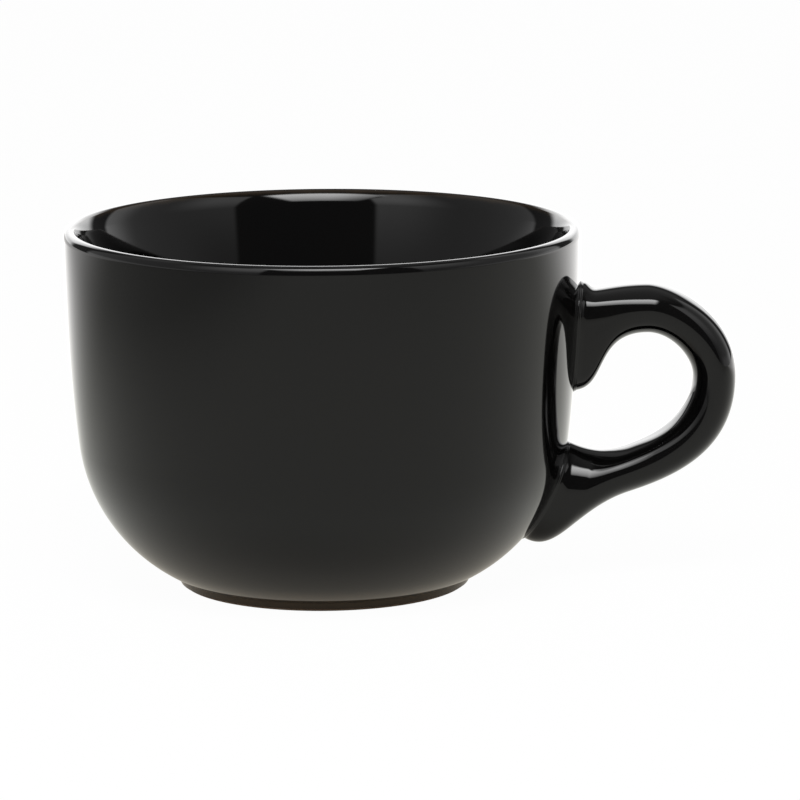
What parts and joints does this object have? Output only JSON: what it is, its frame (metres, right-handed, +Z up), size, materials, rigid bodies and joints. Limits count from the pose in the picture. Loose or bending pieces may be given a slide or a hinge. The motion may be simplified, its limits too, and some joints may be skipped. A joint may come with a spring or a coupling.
{
  "type": "cappuccino mug",
  "caption": "Wide round-bellied stoneware cappuccino mug with a looped strap handle on one side, a low foot ring and a glossy black glaze inside and out.",
  "frame": {"origin": "centre of the foot ring's standing face, on the bowl's axis, at the table", "axes": "+Z up along the bowl's axis; +X towards the handle; the handle's mid-plane is y = 0"},
  "size_m": [0.1562, 0.12, 0.084],
  "materials": {
    "clay": "bare fired stoneware, matt",
    "slip": "fired joining slip, matt",
    "glaze": "glossy black glaze"
  },
  "bodies": {
    "root": {"bowl": "clay", "handle": "clay", "upper_slip_joint": "slip", "lower_slip_joint": "slip", "inner_glaze": "glaze", "outer_glaze": "glaze", "handle_glaze": "glaze", "base_glaze": "glaze"}
  },
  "joints": []
}
